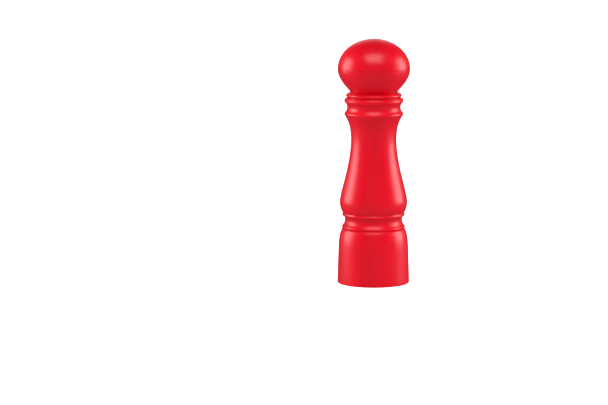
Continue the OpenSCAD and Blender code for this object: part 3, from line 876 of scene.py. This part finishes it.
def make_ring():
    """Outer ceramic ring: a toothed funnel above and a fine-toothed finishing face below."""
    low, top = ring_low.z, ring_high.z
    ring_r, nose_r = ring_high.x, 19.9
    mouth, throat, funnel, rim = (15.95, 10.165), (13.6, 13.167), (14.8, 18), (18, top)
    outline = (
        rounded([(mouth[0], low), (nose_r, low), (nose_r, LIP_Z + FIT), (ring_r, LIP_Z + FIT),
                 (ring_r, top), rim], 0.35, closed=False)
        + divided(rim, funnel, 16) + [funnel] + divided(funnel, throat, 8) + [throat]
        + divided(throat, mouth, 8) + [mouth]
    )

    def shape(r, z, angle):
        teeth = angle / 360 * TEETH
        if funnel[1] < z < top and r < rim[0] + 0.01:
            t = along(r, z, funnel, rim)
            fade = math.sin(math.pi * min(1, t * 1.15 + 0.1))
            return r + 0.75 * tooth(teeth / 2 - 0.3 * t, 0.5) * fade, z
        if mouth[1] < z < throat[1] and r < mouth[0]:
            t = along(r, z, throat, mouth)
            fade = math.sin(math.pi * (0.15 + 0.8 * t))
            return r + 0.42 * tooth(teeth + 0.5 * t, 0.8) * fade, z
        return r, z

    piece = lathe("ceramic_ring", outline, TEETH * 14, shape=shape, smooth=40)
    finished(even_shading(piece), CERAMIC, "ceramic", "mill", "grind_ring")


def make_cone():
    """Ceramic cone on the rotor: deep feed flutes above, fine teeth below."""
    low, top, wide = cone_low.z, cone_high.z, cone_high.x
    bore, flange, step = 5.05, 8.9, 9.75
    flutes = 6
    bore_row = 11.2         # ends the rounded stretch partway down the bore
    flare, shoulder, crown = (wide, 9.6), (wide - 1.8, 11.9), (8.4, 22.9)
    outline = (
        rounded([(bore, step), (flange, step), (flange, low), (wide, low), flare], 0.2, closed=False)
        + divided(flare, shoulder, 8) + [shoulder] + divided(shoulder, crown, 24) + [crown]
        + rounded([crown, (8, top), (bore, top), (bore, bore_row)], 0.3, closed=False)[1:]
    )

    def shape(r, z, angle):
        if flare[1] < z < shoulder[1] and r > shoulder[0]:
            t = along(r, z, flare, shoulder)
            fade = math.sin(math.pi * (0.1 + 0.8 * t))
            return r - 0.42 * tooth(angle / 360 * TEETH - 0.5 * t, 0.8) * fade, z
        if shoulder[1] < z < crown[1] and r > 7:
            t = along(r, z, shoulder, crown)
            fade = math.sin(math.pi * min(0.5, t * 0.8 + 0.02))
            return r - 1.7 * tooth(angle * flutes / 360 + 0.75 * t, 0.75) * fade, z
        return r, z

    piece = lathe("ceramic_cone", outline, TEETH * 14, shape=shape, smooth=40)
    finished(even_shading(piece), CERAMIC, "ceramic", "rotor", "grind_cone")


# ---- CAD nodes that keep their shape ----

KEPT = (
    (SILICONE, ("ring_cushion",)),
    (WHITE, ("ring_retainer", "feed_bridge", "bridge_bush", "shaft_collar", "rotor_core")),
    (STEEL, ("spring_seat", "shaft_clips", "cone_retainer", "thrust_washer", "socket_clip")),
)


def paint_kept():
    for material, names in KEPT:
        for name in names:
            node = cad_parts[name]
            node.data.materials.clear()
            node.data.materials.append(material)


# ---- stage ----

FLOOR_LIFT = 0.85           # the floor reads as white paper without lighting the mill


def pale_floor():
    """Matt pale floor, dark in reflections, that can't be seen from below."""
    n = Nodes("Pale floor")
    path = n.add("ShaderNodeLightPath").outputs
    tint = n.mix(n.noise(3, 2.0), (0.86, 0.86, 0.86), (0.9, 0.9, 0.9))
    tint = n.mix(path["Is Glossy Ray"], tint, (0.12, 0.12, 0.12))
    rough = n.range(n.noise(40), 0.3, 0.7, 0.8, 0.9)
    n.finish(tint, rough, n.bump(n.noise(200), 0.00001), Specular_IOR_Level=0.1)
    glow = n.math("MULTIPLY", path["Is Camera Ray"], FLOOR_LIFT)
    n.put(n.shader, Emission_Color=(1, 1, 1, 1), Emission_Strength=glow)
    clear = n.add("ShaderNodeBsdfTransparent")
    choose = n.add("ShaderNodeMixShader")
    behind = n.add("ShaderNodeNewGeometry").outputs["Backfacing"]
    n.put(choose, _0=behind, _1=n.shader.outputs[0], _2=clear.outputs[0])
    n.link(choose.outputs[0], n.tree.nodes["Material Output"].inputs["Surface"])
    return n.material


def make_floor():
    """Round floor, left open under the foot, which rests in the same plane."""
    inner, outer, count = (FOOT_R - 1.05) * MM, 9, 96
    rings = (inner, 0.2, 1, 3, outer)
    angles = [2 * math.pi * j / count for j in range(count)]
    verts = [(r * math.cos(a), r * math.sin(a), 0) for r in rings for a in angles]
    faces = []
    for low in range(0, count * (len(rings) - 1), count):
        high = low + count
        for j in range(count):
            k = (j + 1) % count
            faces.append([low + j, high + j, high + k, low + k])
    mesh = bpy.data.meshes.new("floor")
    mesh.from_pydata(verts, [], faces)
    floor = bpy.data.objects.new("floor", mesh)
    floor.data.materials.append(pale_floor())
    bpy.context.scene.collection.objects.link(floor)


def softbox(name, direction, distance, size, power, aim=(0, 0, 0.1)):
    """Rectangular light. direction is (azimuth, elevation) in degrees; azimuth 0 is -Y and 90 is +X."""
    azimuth, elevation = (math.radians(d) for d in direction)
    aim = Vector(aim)
    back = Vector((math.sin(azimuth) * math.cos(elevation), -math.cos(azimuth) * math.cos(elevation),
                   math.sin(elevation)))
    light = bpy.data.lights.new(name, "AREA")
    light.shape = "RECTANGLE"
    light.size, light.size_y = size
    light.energy = power
    holder = bpy.data.objects.new(name, light)
    holder.location = aim + back * distance
    holder.rotation_euler = back.to_track_quat("Z", "Y").to_euler()
    bpy.context.scene.collection.objects.link(holder)
    return holder


def make_lights():
    softbox("left_box", (-99, 8), 1.5, (0.9, 1.3), 17.5)
    softbox("right_box", (99, 8), 1.5, (0.9, 1.3), 17.5)
    softbox("front_box", (0, 57), 2.0, (1.6, 1.25), 23.5)
    softbox("back_box", (180, 19), 3.0, (1.5, 2.0), 6)
    softbox("low_box", (0, -70), 1.2, (1.0, 1.0), 12, (0, 0, 0))
    fill = softbox("fill_card", (0, 4), 2.0, (2.4, 0.3), 6)
    fill.visible_glossy = False
    fill.visible_camera = False


def make_world():
    """Dim studio, which the camera sees as white."""
    world = bpy.data.worlds.new("studio")
    world.use_nodes = True
    nodes = world.node_tree.nodes
    background = nodes["Background"]
    background.inputs["Color"].default_value = (1, 1, 1, 1)
    seen = nodes.new("ShaderNodeLightPath").outputs["Is Camera Ray"]
    strength = nodes.new("ShaderNodeMapRange")
    strength.inputs["To Min"].default_value = 0.12
    strength.inputs["To Max"].default_value = 1.05
    world.node_tree.links.new(seen, strength.inputs["Value"])
    world.node_tree.links.new(strength.outputs["Result"], background.inputs["Strength"])
    bpy.context.scene.world = world


def make_camera():
    """Long lens, a little above the head and far off, looking down 8 degrees."""
    camera = bpy.data.cameras.new("camera")
    camera.lens = 174.3
    camera.sensor_width = 36
    camera.clip_start = 0.01
    camera.clip_end = 100
    holder = bpy.data.objects.new("camera", camera)
    holder.location = (-0.0596, -2.5, 0.4228)
    holder.rotation_euler = (math.radians(81.95), 0, 0)
    bpy.context.scene.collection.objects.link(holder)
    bpy.context.scene.camera = holder


make_body()
make_housing()
make_dial()
make_dome()
make_cup()
make_seal()
make_shaft()
make_socket()
make_screws()
make_spring()
make_ring()
make_cone()
paint_kept()
make_floor()
make_lights()
make_world()
make_camera()
bpy.context.scene.view_settings.view_transform = "Standard"
bpy.context.scene.view_settings.look = "Medium High Contrast"
